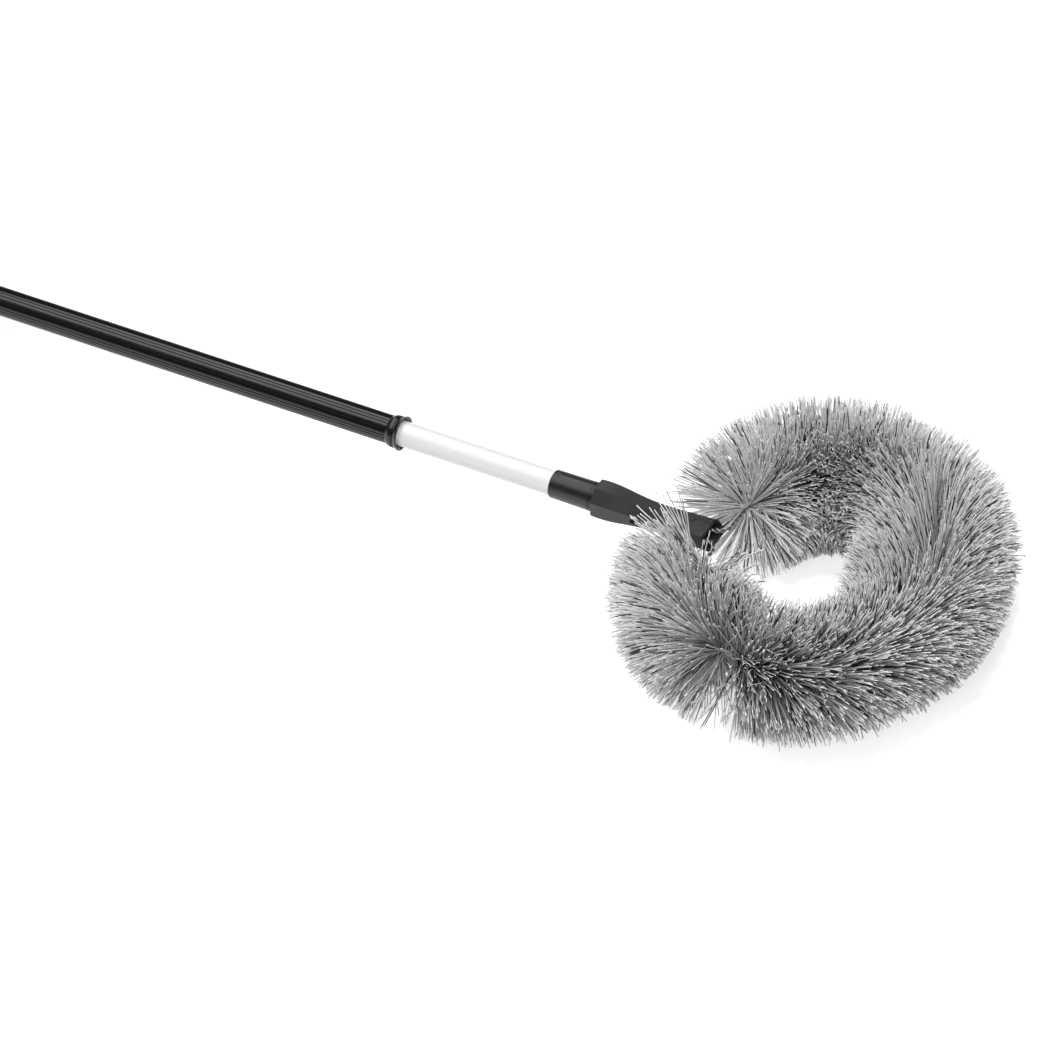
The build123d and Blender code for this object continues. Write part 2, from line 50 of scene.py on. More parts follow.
camera_data = bpy.data.cameras.new("camera")
camera_data.sensor_width = 36
camera_data.lens = camera_data.sensor_width * focal_pixels / image_width
camera_data.clip_end = 20
camera = bpy.data.objects.new("camera", camera_data)
scene.collection.objects.link(camera)
camera_back = Vector((
    math.sin(camera_azimuth) * math.cos(camera_elevation),
    -math.cos(camera_azimuth) * math.cos(camera_elevation),
    math.sin(camera_elevation),
))
camera.location = camera_aim + camera_back * camera_distance
camera_turn = (-camera_back).to_track_quat("-Z", "Y") @ Quaternion((0, 0, 1), camera_roll)
camera.rotation_euler = camera_turn.to_euler()
scene.camera = camera


# Outer tube: drawn aluminium, fluted lengthwise and stoved in gloss black enamel. The flutes give
# it a row of fine lines, dull at their floors, and the enamel has a faint orange peel.
def linear(hex_colour):
    """A colour written in sRGB hex, as the linear values that a shader takes."""
    channels = [int(hex_colour[place:place + 2], 16) / 255 for place in (1, 3, 5)]
    return [c / 12.92 if c <= 0.04045 else ((c + 0.055) / 1.055) ** 2.4 for c in channels] + [1]


def add_node(tree, kind, settings=(), inputs=()):
    """Adds a node to a tree with its settings, and sets its inputs or links other nodes to them."""
    node = tree.nodes.new(kind)
    for name, value in dict(settings).items():
        setattr(node, name, value)
    for name, value in dict(inputs).items():
        if isinstance(value, bpy.types.NodeSocket):
            tree.links.new(value, node.inputs[name])
        else:
            node.inputs[name].default_value = value
    return node


def solid_finish(name, colour, shine, uneven, relief):
    """A solid finish: uneven gloss in broad patches, and a fine relief of one size."""
    material = bpy.data.materials.new(name)
    material.use_nodes = True
    tree = material.node_tree
    tree.nodes.clear()
    place = add_node(tree, "ShaderNodeTexCoord").outputs["Object"]
    patches = add_node(
        tree, "ShaderNodeTexNoise", {}, {"Vector": place, "Scale": 1 / uneven["size"], "Detail": 4}
    )
    gloss = add_node(tree, "ShaderNodeMapRange", {}, {
        "Value": patches.outputs["Fac"],
        "From Min": 0.3,
        "From Max": 0.7,
        "To Min": uneven["least"],
        "To Max": uneven["most"],
    })
    grain = add_node(
        tree, "ShaderNodeTexNoise", {}, {"Vector": place, "Scale": 1 / relief["size"], "Detail": 2}
    )
    bump = add_node(tree, "ShaderNodeBump", {}, {
        "Height": grain.outputs["Fac"],
        "Strength": 0.5,
        "Distance": relief["depth"],
    })
    skin = add_node(tree, "ShaderNodeBsdfPrincipled", {}, {
        "Base Color": linear(colour),
        "Roughness": gloss.outputs["Result"],
        "Normal": bump.outputs["Normal"],
        **shine,
    })
    add_node(tree, "ShaderNodeOutputMaterial", {}, {"Surface": skin.outputs["BSDF"]})
    return material


def dress(material, *names):
    """Gives CAD pieces their finish."""
    for name in names:
        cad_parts[name].data.materials.clear()
        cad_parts[name].data.materials.append(material)


pole_hitch = Vector((0.37225, 0, 0.0615))
pole_slope = math.radians(2.811)
outer_tube_radius = 0.0125
flute_depth = 0.00045
flute_floor_roughness = 0.7

enamel = solid_finish(
    "gloss black enamel",
    "#060607",
    {"IOR": 1.5},
    {"size": 0.03, "least": 0.12, "most": 0.18},
    {"size": 0.002, "depth": 0.00002},
)
enamel_tree = enamel.node_tree
enamel_skin = enamel_tree.nodes["Principled BSDF"]
enamel_gloss = enamel_skin.inputs["Roughness"].links[0].from_socket
on_tube = add_node(enamel_tree, "ShaderNodeMapping", {"vector_type": "TEXTURE"}, {
    "Vector": add_node(enamel_tree, "ShaderNodeTexCoord").outputs["Object"],
    "Location": pole_hitch,
    "Rotation": (0, -pole_slope, 0),
})
across_tube = add_node(enamel_tree, "ShaderNodeVectorMath", {"operation": "MULTIPLY"}, {
    0: on_tube.outputs["Vector"],
    1: (0, 1, 1),
})
from_axis = add_node(enamel_tree, "ShaderNodeVectorMath", {"operation": "LENGTH"}, {
    0: across_tube.outputs["Vector"],
})
on_land = add_node(enamel_tree, "ShaderNodeMapRange", {}, {
    "Value": from_axis.outputs["Value"],
    "From Min": outer_tube_radius - flute_depth,
    "From Max": outer_tube_radius - flute_depth / 4,
})
enamel_rough = add_node(enamel_tree, "ShaderNodeMix", {"data_type": "FLOAT"}, {
    "Factor": on_land.outputs["Result"],
    "A": flute_floor_roughness,
    "B": enamel_gloss,
})
enamel_tree.links.new(enamel_rough.outputs["Result"], enamel_skin.inputs["Roughness"])
dress(enamel, "outer_tube")

# Front collar and the sleeve's catch: moulded in black polypropylene in a polished tool, so they
# shine softly. The collar is pushed on to the tube's mouth, and the catch snaps into the sleeve's
# window.
dress(
    solid_finish(
        "polished black polypropylene",
        "#101011",
        {"IOR": 1.49},
        {"size": 0.02, "least": 0.22, "most": 0.32},
        {"size": 0.001, "depth": 0.00001},
    ),
    "front_collar",
    "sleeve_catch",
)

# End cap: moulded in black polypropylene in an etched tool, which leaves a fine grain. It is
# pushed into the tube's end as far as its flange.
dress(
    solid_finish(
        "grained black polypropylene",
        "#1b1b1c",
        {"IOR": 1.49},
        {"size": 0.02, "least": 0.4, "most": 0.52},
        {"size": 0.0007, "depth": 0.00004},
    ),
    "end_cap",
)

# Inner tube: welded steel tube, stoved in white enamel, which is smooth with a faint orange peel.
dress(
    solid_finish(
        "white enamel",
        "#e9e9e8",
        {"IOR": 1.5},
        {"size": 0.03, "least": 0.2, "most": 0.3},
        {"size": 0.0025, "depth": 0.00002},
    ),
    "inner_tube",
)

# Plug, expander and cone of the twist lock: moulded in natural nylon, a milky off-white.
dress(
    solid_finish(
        "natural nylon",
        "#e3dfd2",
        {"IOR": 1.53},
        {"size": 0.008, "least": 0.32, "most": 0.46},
        {"size": 0.0009, "depth": 0.00002},
    ),
    "lock_plug",
    "lock_expander",
    "cone_nut",
)

# Spindle, pin, stop washer and stop nut: turned mild steel, zinc plated, which leaves it bright
# with a fine grain.
dress(
    solid_finish(
        "zinc plated steel",
        "#c9cacb",
        {"Metallic": 1},
        {"size": 0.002, "least": 0.2, "most": 0.4},
        {"size": 0.0004, "depth": 0.00001},
    ),
    "lock_spindle",
    "plug_pin",
    "stop_washer",
    "stop_nut",
)

# Set screws that hold the ring's wires in the socket: hardened steel, blackened in hot oxide salts,
# which leaves them dark with a dull shine.
dress(
    solid_finish(
        "black oxide steel",
        "#3a3a3c",
        {"Metallic": 1},
        {"size": 0.002, "least": 0.35, "most": 0.5},
        {"size": 0.0004, "depth": 0.00001},
    ),
    "shank_screws",
)

# Sleeve: moulded in black polypropylene with a satin face. It carries the spigot on which the head
# is pushed. The real grain is finer than a pixel, so it is drawn coarser and deeper, to show.
dress(
    solid_finish(
        "satin black polypropylene",
        "#18181a",
        {"IOR": 1.49},
        {"size": 0.015, "least": 0.3, "most": 0.4},
        {"size": 0.001, "depth": 0.0001},
    ),
    "spigot_sleeve",
)

# Socket of the head: moulded in black polypropylene with a matt grain on its flat faces. The grain
# is drawn coarser and deeper than the real one, to show.
dress(
    solid_finish(
        "matt black polypropylene",
        "#232324",
        {"IOR": 1.49},
        {"size": 0.015, "least": 0.34, "most": 0.46},
        {"size": 0.0012, "depth": 0.0002},
    ),
    "head_socket",
)

# Core: two galvanised steel wires twisted together all the way round, so that they grip the
# filaments, with both ends pushed into the socket. The zinc leaves them a dull pale grey.
ring_length = 0.182
ring_width = 0.244
shank_reach = 0.026
loop_turn = math.radians(35)
shank_offset = 0.0065
shank_bend = 0.011
shank_length = 0.0818
wire_size = 0.002
wire_gap = 0.0003
twist_pitch = 0.012
twist_steps = 16
wire_sides = 8

outward = math.sin(loop_turn)
forward = math.cos(loop_turn)
side_room = (ring_width / 2 - shank_reach) / (1 - outward)
back_radius = (
    ring_length - (1 - forward) * shank_reach / outward - 2 * forward * side_room
) / (2 * (1 - forward) - 2 * forward * outward / (1 - outward))
side_radius = side_room - outward * back_radius / (1 - outward)
front_radius = back_radius + shank_reach / outward
side_turn = math.pi - 2 * loop_turn
shank_runs = [
    (shank_length - shank_bend, 0),
    (shank_bend * math.pi / 2, math.pi / 2),
    (shank_reach - shank_offset - shank_bend, 0),
]
side_runs = [(back_radius * loop_turn, -loop_turn), (side_radius * side_turn, -side_turn)]
front_run = (front_radius * 2 * loop_turn, -2 * loop_turn)
loop_runs = shank_runs + side_runs + [front_run] + side_runs[::-1] + shank_runs[::-1]
shank_total = sum(length for length, turn in shank_runs)
loop_total = sum(length for length, turn in loop_runs)


def loop_point(distance):
    """A point of the core's centreline, a distance from the end of its far shank."""
    ahead, aside, heading = -shank_length, shank_offset, 0
    for length, turn in loop_runs:
        step = min(distance, length)
        distance -= step
        if turn:
            radius = length / turn
            swing = step / radius
            ahead += radius * (math.sin(heading + swing) - math.sin(heading))
            aside += radius * (math.cos(heading) - math.cos(heading + swing))
            heading += swing
        else:
            ahead += step * math.cos(heading)
            aside += step * math.sin(heading)
    tilt = pole_slope if ahead < 0 else 0
    return pole_hitch + Vector((ahead * math.cos(tilt), aside, ahead * math.sin(tilt)))


def loop_line(name, first, last, spacing):
    """A curve along part of the core's centreline, as an object to grow pieces on."""
    curve = bpy.data.curves.new(name, "CURVE")
    curve.dimensions = "3D"
    curve.twist_mode = "Z_UP"
    count = max(2, round((last - first) / spacing) + 1)
    spline = curve.splines.new("POLY")
    spline.points.add(count - 1)
    for place, point in enumerate(spline.points):
        point.co = [*loop_point(first + (last - first) * place / (count - 1)), 1]
    line = bpy.data.objects.new(name, curve)
    scene.collection.objects.link(line)
    return line


def new_tree(name, sizes):
    """A geometry node tree that takes geometry and named inputs, and gives geometry."""
    tree = bpy.data.node_groups.new(name, "GeometryNodeTree")
    tree.interface.new_socket("Geometry", in_out="OUTPUT", socket_type="NodeSocketGeometry")
    for label, kind in {"Geometry": "Geometry", **sizes, "Material": "Material"}.items():
        tree.interface.new_socket(label, in_out="INPUT", socket_type=f"NodeSocket{kind}")
    return tree


def grow(line, tree, sizes, name):
    """Grows a tree's geometry on a line, and leaves it as a plain mesh in the line's place."""
    modifier = line.modifiers.new("grow", "NODES")
    modifier.node_group = tree
    for item in tree.interface.items_tree:
        if item.in_out == "INPUT" and item.name in sizes:
            modifier[item.identifier] = sizes[item.name]
    depsgraph = bpy.context.evaluated_depsgraph_get()
    mesh = bpy.data.meshes.new_from_object(line.evaluated_get(depsgraph))
    bpy.data.objects.remove(line)
    piece = bpy.data.objects.new(name, mesh)
    scene.collection.objects.link(piece)
    return piece


galvanised = solid_finish(
    "galvanised steel wire",
    "#9a9c9d",
    {"Metallic": 1},
    {"size": 0.0015, "least": 0.3, "most": 0.5},
    {"size": 0.0005, "depth": 0.00001},
)

wire_tree = new_tree("twisted wire", {
    "Radius": "Float",
    "Offset": "Float",
    "Pitch": "Float",
    "Phase": "Float",
})
wire = add_node(wire_tree, "NodeGroupInput").outputs
wire_turns = add_node(wire_tree, "ShaderNodeMath", {"operation": "DIVIDE"}, {
    0: add_node(wire_tree, "GeometryNodeSplineParameter").outputs["Length"],
    1: wire["Pitch"],
})
wire_angle = add_node(wire_tree, "ShaderNodeMath", {"operation": "MULTIPLY_ADD"}, {
    0: wire_turns.outputs["Value"],
    1: 2 * math.pi,
    2: wire["Phase"],
})
wire_spoke = add_node(wire_tree, "ShaderNodeVectorRotate", {"rotation_type": "AXIS_ANGLE"}, {
    "Vector": add_node(wire_tree, "GeometryNodeInputNormal").outputs["Normal"],
    "Axis": add_node(wire_tree, "GeometryNodeInputTangent").outputs["Tangent"],
    "Angle": wire_angle.outputs["Value"],
})
wire_shift = add_node(wire_tree, "ShaderNodeVectorMath", {"operation": "SCALE"}, {
    "Vector": wire_spoke.outputs["Vector"],
    "Scale": wire["Offset"],
})
wire_helix = add_node(wire_tree, "GeometryNodeSetPosition", {}, {
    "Geometry": wire["Geometry"],
    "Offset": wire_shift.outputs["Vector"],
})
wire_round = add_node(wire_tree, "GeometryNodeCurvePrimitiveCircle", {}, {
    "Resolution": wire_sides,
    "Radius": wire["Radius"],
})
wire_body = add_node(wire_tree, "GeometryNodeCurveToMesh", {}, {
    "Curve": wire_helix.outputs["Geometry"],
    "Profile Curve": wire_round.outputs["Curve"],
    "Fill Caps": True,
})
wire_real = add_node(wire_tree, "GeometryNodeRealizeInstances", {}, {
    "Geometry": wire_body.outputs["Mesh"],
})
wire_coat = add_node(wire_tree, "GeometryNodeSetMaterial", {}, {
    "Geometry": wire_real.outputs["Geometry"],
    "Material": wire["Material"],
})
add_node(wire_tree, "NodeGroupOutput", {}, {"Geometry": wire_coat.outputs["Geometry"]})

for name, phase in {"upper": 0, "lower": math.pi}.items():
    strand = grow(
        loop_line(f"{name}_line", 0, loop_total, twist_pitch / twist_steps),
        wire_tree,
        {
            "Radius": wire_size / 2,
            "Offset": (wire_size + wire_gap) / 2,
            "Pitch": twist_pitch,
            "Phase": phase,
            "Material": galvanised,
        },
        f"core_wire_{name}_twisted",
    )
    strand.data.shade_smooth()
    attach(strand, "brush_head")
    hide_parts(f"core_wire_{name}")

# Bristles: grey polypropylene filaments, held at their middle between the twisted wires, so that
# each tuft stands out on all sides as a round brush. They part where the brush has been bent. Real
# filaments are about 0.5 mm thick: these are thicker and fewer, so that they show in the render.
filament_size = 0.0011
filament_length = 0.0655
filament_shortest = 0.92
filaments_per_tuft = 1550
filament_steps = 5
filament_sides = 3
tuft_count = 12
tuft_spacing = 0.002
bare_far = 0.017
bare_near = 0.006
floor_clearance = 0.0003
bristle_top = 0.136
seed_step = 40

# How the bristles stand along the ring, on its outer and its inner side. Each pair is a place on
# the ring, from 0 at the far end to 1 at the near end, and the value there. Lean and length have
# their middle at 0.5, and the rest grow from 0.
ways_along = {
    "lean outside": [
        (0, 0.3), (0.05, 0.42), (0.1, 0.5), (0.5, 0.5), (0.6, 0.2), (0.7, 0.1), (0.76, 0.25),
        (0.796, 0.2), (0.8, 0.45), (0.86, 0.5), (0.93, 0.45), (1, 0.3),
    ],
    "lean inside": [
        (0, 0.42), (0.05, 0.48), (0.23, 0.5), (0.28, 0.3), (0.34, 0.36), (0.44, 0.5), (0.5, 0.5),
        (0.62, 0.36), (0.775, 0.36), (0.8, 0.7), (0.84, 0.55), (0.9, 0.4), (0.95, 0.3), (1, 0.3),
    ],
    "length outside": [
        (0, 0.62), (0.05, 0.7), (0.2, 0.7), (0.235, 0.45), (0.27, 0.75), (0.36, 0.75),
        (0.42, 0.57), (0.5, 0.5), (0.79, 0.5), (0.805, 0.45), (0.84, 0.65), (0.9, 0.78), (1, 0.8),
    ],
    "length inside": [
        (0, 0.5), (0.28, 0.5), (0.33, 0.85), (0.42, 0.95), (0.48, 0.95), (0.56, 0.3), (0.7, 0.2),
        (0.9, 0.2), (0.95, 0.4), (1, 0.5),
    ],
    "gap outside": [(0, 0), (0.9, 0), (0.95, 0.15), (1, 0.3)],
    "gap inside": [
        (0, 0), (0.34, 0), (0.4, 0.3), (0.48, 0.3), (0.58, 0.05), (0.62, 0), (0.9, 0), (0.95, 0.5),
        (1, 0.7),
    ],
    "tangle outside": [(0, 0), (0.6, 0), (0.68, 0.6), (0.78, 0.6), (0.83, 0), (1, 0)],
    "tangle inside": [
        (0, 0), (0.08, 0.1), (0.16, 0.9), (0.32, 0.9), (0.38, 0.1), (0.55, 0.05), (0.7, 0.4),
        (0.8, 0.4), (1, 0.1),
    ],
    "fullness outside": [
        (0, 1), (0.79, 1), (0.795, 0), (0.81, 0), (0.818, 0.7), (0.84, 1), (1, 1),
    ],
    "fullness inside": [
        (0, 0.6), (0.06, 1), (0.79, 1), (0.796, 0.3), (0.812, 0.3), (0.82, 1), (0.86, 1),
        (0.93, 0.35), (1, 0.15),
    ],
    # Painted root light: how pale a filament is painted at its root, low where painted shade stands
    # for the shade of its neighbours.
    "painted root light outside": [
        (0, 1), (0.1, 1), (0.3, 0.9), (0.5, 0.5), (0.62, 0.1), (0.78, 0.1), (0.82, 0.5), (0.9, 1),
        (1, 1),
    ],
    "painted root light inside": [
        (0, 1), (0.04, 0.9), (0.1, 0.1), (0.27, 0.1), (0.32, 0.8), (0.5, 0.8), (0.58, 0.2),
        (0.9, 0.3), (1, 0.6),
    ],
}

# Polypropylene filament, drawn through a die, so it is smooth and shines along its length. Its
# colour runs from near black to white by the shade that each filament carries, which is painted
# light and painted shade on a filament that is really one grey, and a painted highlight makes its
# last few millimetres paler, for the light that glints at the tips.
tip_highlight_starts = 0.93
tip_highlight_full = 0.97
tip_highlight_strength = 0.8

bristle = bpy.data.materials.new("grey polypropylene filament")
bristle.use_nodes = True
bristle_tree = bristle.node_tree
bristle_tree.nodes.clear()
bristle_painted_shade = add_node(bristle_tree, "ShaderNodeAttribute", {"attribute_name": "shade"})
bristle_along = add_node(bristle_tree, "ShaderNodeAttribute", {"attribute_name": "along"})
# Painted highlight: the last few millimetres of each filament are painted paler, for the light that
# glints at the tips.
bristle_tip_highlight = add_node(bristle_tree, "ShaderNodeMapRange", {}, {
    "Value": bristle_along.outputs["Fac"],
    "From Min": tip_highlight_starts,
    "From Max": tip_highlight_full,
    "To Max": tip_highlight_strength,
})
bristle_tone = add_node(bristle_tree, "ShaderNodeMath", {"operation": "ADD", "use_clamp": True}, {
    0: bristle_painted_shade.outputs["Fac"],
    1: bristle_tip_highlight.outputs["Result"],
})
# Painted light and shade: near black where a filament is painted shaded, white where it is painted
# lit.
bristle_colour = add_node(bristle_tree, "ShaderNodeMix", {"data_type": "RGBA"}, {
    "Factor": bristle_tone.outputs["Value"],
    "A": linear("#15191a"),
    "B": linear("#ffffff"),
})
bristle_skin = add_node(bristle_tree, "ShaderNodeBsdfPrincipled", {}, {
    "Base Color": bristle_colour.outputs["Result"],
    "Roughness": 0.26,
    "IOR": 1.49,
    "Specular IOR Level": 1,
})
add_node(bristle_tree, "ShaderNodeOutputMaterial", {}, {"Surface": bristle_skin.outputs["BSDF"]})

tuft_tree = new_tree("bristle tuft", {
    "Filaments": "Int",
    "Length": "Float",
    "Thickness": "Float",
    "First": "Float",
    "Last": "Float",
    "Spread": "Float",
    "Bend": "Float",
    "Tangle": "Float",
    "Wisp": "Float",
    "Floor": "Float",
    "Top": "Float",
    "Seed": "Int",
})
tuft = add_node(tuft_tree, "NodeGroupInput").outputs
roots = add_node(tuft_tree, "GeometryNodeCurveToPoints", {"mode": "COUNT"}, {
    "Curve": tuft["Geometry"],
    "Count": tuft["Filaments"],
}).outputs

# Each filament's own chances: which side it stands on, its lean, length, bend and painted shade,
# and whether it is there at all where they stand thinly.
chances = []
for number, (kind, low, high) in enumerate((
    ("FLOAT", -1, 1),
    ("FLOAT", -1, 1),
    ("FLOAT", filament_shortest, 1),
    ("FLOAT_VECTOR", (-1, -1, -1), (1, 1, 1)),
    ("FLOAT", 0, 1),
    ("FLOAT", 0, 1),
)):
    own_seed = add_node(tuft_tree, "ShaderNodeMath", {"operation": "ADD"}, {
        0: tuft["Seed"],
        1: number,
    })
    chance = add_node(tuft_tree, "FunctionNodeRandomValue", {"data_type": kind}, {
        "Min": low,
        "Max": high,
        "Seed": own_seed.outputs["Value"],
    })
    chances.append(chance.outputs["Value"])
side_chance, lean_chance, length_chance, bend_chance, painted_shade_chance, stay_chance = chances

# Where the filament is on the whole ring, from 0 at the far end to 1 at the near end.
index = add_node(tuft_tree, "GeometryNodeInputIndex").outputs["Index"]
whole = add_node(tuft_tree, "ShaderNodeMapRange", {}, {
    "Value": index,
    "From Min": 0,
    "From Max": tuft["Filaments"],
    "To Min": tuft["First"],
    "To Max": tuft["Last"],
}).outputs["Result"]
here_along = {}
for way, points in ways_along.items():
    curve = add_node(tuft_tree, "ShaderNodeFloatCurve", {}, {"Value": whole})
    line = curve.mapping.curves[0]
    line.points[0].location, line.points[-1].location = points[0], points[-1]
    for point in points[1:-1]:
        line.points.new(*point)
    for point in line.points:
        point.handle_type = "VECTOR"
    curve.mapping.update()
    here_along[way] = curve.outputs["Value"]

# The side that the filament stands on, from straight up, with a gap at the top where they part.
# The ways outside and inside blend into each other over the top and the bottom of the ring.
side_blend = 0.5
side_size = add_node(tuft_tree, "ShaderNodeMath", {"operation": "ABSOLUTE"}, {0: side_chance})
side_sign = add_node(tuft_tree, "ShaderNodeMath", {"operation": "SIGN"}, {0: side_chance})
inner_side = add_node(tuft_tree, "ShaderNodeMath", {"operation": "GREATER_THAN"}, {
    0: side_chance,
    1: 0,
})
gap_here = add_node(tuft_tree, "ShaderNodeMix", {"data_type": "FLOAT"}, {
    "Factor": inner_side.outputs["Value"],
    "A": here_along["gap outside"],
    "B": here_along["gap inside"],
})
side_turn_size = add_node(tuft_tree, "ShaderNodeMapRange", {}, {
    "Value": side_size.outputs["Value"],
    "To Min": gap_here.outputs["Result"],
    "To Max": math.pi,
})
side_angle = add_node(tuft_tree, "ShaderNodeMath", {"operation": "MULTIPLY_ADD"}, {
    0: side_turn_size.outputs["Result"],
    1: side_sign.outputs["Value"],
    2: -math.pi / 2,
})
spoke = add_node(tuft_tree, "ShaderNodeVectorRotate", {"rotation_type": "AXIS_ANGLE"}, {
    "Vector": roots["Normal"],
    "Axis": roots["Tangent"],
    "Angle": side_angle.outputs["Value"],
}).outputs["Vector"]
inward_part = add_node(tuft_tree, "ShaderNodeVectorMath", {"operation": "DOT_PRODUCT"}, {
    0: spoke,
    1: roots["Normal"],
})
inwardness = add_node(tuft_tree, "ShaderNodeMapRange", {}, {
    "Value": inward_part.outputs["Value"],
    "From Min": -side_blend,
    "From Max": side_blend,
}).outputs["Result"]
here = {}
for what in ("lean", "length", "tangle", "fullness", "painted root light"):
    here[what] = add_node(tuft_tree, "ShaderNodeMix", {"data_type": "FLOAT"}, {
        "Factor": inwardness,
        "A": here_along[f"{what} outside"],
        "B": here_along[f"{what} inside"],
    }).outputs["Result"]

# The lean along the ring: the parting's own, a small spread, and a few filaments that stray. The
# power is odd, so that a stray keeps its direction, and high, so that few filaments stray.
stray_power = 9
stray = add_node(tuft_tree, "ShaderNodeMath", {"operation": "POWER"}, {
    0: lean_chance,
    1: stray_power,
})
own_lean = add_node(tuft_tree, "ShaderNodeMath", {"operation": "MULTIPLY_ADD"}, {
    0: lean_chance,
    1: tuft["Spread"],
    2: stray.outputs["Value"],
})
shared_lean = add_node(tuft_tree, "ShaderNodeMapRange", {}, {
    "Value": here["lean"],
    "To Min": -1,
    "To Max": 1,
})
whole_lean = add_node(tuft_tree, "ShaderNodeMath", {"operation": "ADD"}, {
    0: own_lean.outputs["Value"],
    1: shared_lean.outputs["Result"],
})
slant = add_node(tuft_tree, "ShaderNodeVectorMath", {"operation": "SCALE"}, {
    "Vector": roots["Tangent"],
    "Scale": whole_lean.outputs["Value"],
})
aim = add_node(tuft_tree, "ShaderNodeVectorMath", {"operation": "ADD"}, {
    0: spoke,
    1: slant.outputs["Vector"],
})
turn = add_node(tuft_tree, "FunctionNodeAlignRotationToVector", {"axis": "Z"}, {
    "Vector": aim.outputs["Vector"],
})

# What each filament carries along to its finished shape: its bend, its painted shade and its root's
# painted light. Noise read at the tips bends neighbours together into wisps 4.5 mm wide, and paints
# them darker or paler together in clumps 2 mm wide, as painted shade for the gaps between clumps,
# which half make up the painted shade. Tangles lie on the upper side only.
wisps_per_metre = 220
clumps_per_metre = 480
clump_dark, clump_pale = 0.35, 0.65
clump_share = 0.5
tangle_starts, tangle_full = -0.7, 0.2
length_least, length_most = 0.8, 1.2

reach = add_node(tuft_tree, "ShaderNodeVectorMath", {"operation": "SCALE"}, {
    "Vector": aim.outputs["Vector"],
    "Scale": tuft["Length"],
})
root_spot = add_node(tuft_tree, "GeometryNodeInputPosition").outputs["Position"]
tip_spot = add_node(tuft_tree, "ShaderNodeVectorMath", {"operation": "ADD"}, {
    0: root_spot,
    1: reach.outputs["Vector"],
})
wisps = add_node(tuft_tree, "ShaderNodeTexNoise", {}, {
    "Vector": tip_spot.outputs["Vector"],
    "Scale": wisps_per_metre,
    "Detail": 1,
})
clumps = add_node(tuft_tree, "ShaderNodeTexNoise", {}, {
    "Vector": tip_spot.outputs["Vector"],
    "Scale": clumps_per_metre,
    "Detail": 0,
})
# Painted shade in clumps, for the shadow in the gaps between them.
clump_painted_shade = add_node(tuft_tree, "ShaderNodeMapRange", {}, {
    "Value": clumps.outputs["Fac"],
    "From Min": clump_dark,
    "From Max": clump_pale,
})
painted_shade_mix = add_node(tuft_tree, "ShaderNodeMix", {"data_type": "FLOAT"}, {
    "Factor": clump_share,
    "A": painted_shade_chance,
    "B": clump_painted_shade.outputs["Result"],
})
centred = add_node(tuft_tree, "ShaderNodeVectorMath", {"operation": "SUBTRACT"}, {
    0: wisps.outputs["Color"],
    1: (0.5, 0.5, 0.5),
})
wisp = add_node(tuft_tree, "ShaderNodeVectorMath", {"operation": "SCALE"}, {
    "Vector": centred.outputs["Vector"],
    "Scale": tuft["Wisp"],
})
upward_part = add_node(tuft_tree, "ShaderNodeSeparateXYZ", {}, {"Vector": spoke}).outputs["Z"]
upwardness = add_node(tuft_tree, "ShaderNodeMapRange", {}, {
    "Value": upward_part,
    "From Min": tangle_starts,
    "From Max": tangle_full,
})
tangle_here = add_node(tuft_tree, "ShaderNodeMath", {"operation": "MULTIPLY"}, {
    0: here["tangle"],
    1: upwardness.outputs["Result"],
})
bend_size = add_node(tuft_tree, "ShaderNodeMath", {"operation": "MULTIPLY_ADD"}, {
    0: tangle_here.outputs["Value"],
    1: tuft["Tangle"],
    2: tuft["Bend"],
})
bend = add_node(tuft_tree, "ShaderNodeVectorMath", {"operation": "SCALE"}, {
    "Vector": bend_chance,
    "Scale": bend_size.outputs["Value"],
})
whole_bend = add_node(tuft_tree, "ShaderNodeVectorMath", {"operation": "ADD"}, {
    0: bend.outputs["Vector"],
    1: wisp.outputs["Vector"],
})
with_bend = add_node(tuft_tree, "GeometryNodeStoreNamedAttribute", {"data_type": "FLOAT_VECTOR"}, {
    "Geometry": roots["Points"],
    "Name": "bend",
    "Value": whole_bend.outputs["Vector"],
})
with_shade = add_node(tuft_tree, "GeometryNodeStoreNamedAttribute", {"data_type": "FLOAT"}, {
    "Geometry": with_bend.outputs["Geometry"],
    "Name": "shade",
    "Value": painted_shade_mix.outputs["Result"],
})
# The root's painted light: how pale the filament is painted at its root.
with_root_light = add_node(tuft_tree, "GeometryNodeStoreNamedAttribute", {"data_type": "FLOAT"}, {
    "Geometry": with_shade.outputs["Geometry"],
    "Name": "root",
    "Value": here["painted root light"],
})
stays = add_node(tuft_tree, "ShaderNodeMath", {"operation": "LESS_THAN"}, {
    0: stay_chance,
    1: here["fullness"],
})
shared_length = add_node(tuft_tree, "ShaderNodeMapRange", {}, {
    "Value": here["length"],
    "To Min": length_least,
    "To Max": length_most,
})
own_length = add_node(tuft_tree, "ShaderNodeMath", {"operation": "MULTIPLY"}, {
    0: length_chance,
    1: shared_length.outputs["Result"],
})
stretch = add_node(tuft_tree, "ShaderNodeMath", {"operation": "MULTIPLY"}, {
    0: own_length.outputs["Value"],
    1: tuft["Length"],
})
size = add_node(tuft_tree, "ShaderNodeCombineXYZ", {}, {
    "X": 1,
    "Y": 1,
    "Z": stretch.outputs["Value"],
})
straight = add_node(tuft_tree, "GeometryNodeCurvePrimitiveLine", {}, {
    "Start": (0, 0, 0),
    "End": (0, 0, 1),
})
jointed = add_node(tuft_tree, "GeometryNodeResampleCurve", {}, {
    "Curve": straight.outputs["Curve"],
    "Count": filament_steps,
})
standing = add_node(tuft_tree, "GeometryNodeInstanceOnPoints", {}, {
    "Points": with_root_light.outputs["Geometry"],
    "Selection": stays.outputs["Value"],
    "Instance": jointed.outputs["Curve"],
    "Rotation": turn.outputs["Rotation"],
    "Scale": size.outputs["Vector"],
})
real = add_node(tuft_tree, "GeometryNodeRealizeInstances", {}, {
    "Geometry": standing.outputs["Instances"],
})

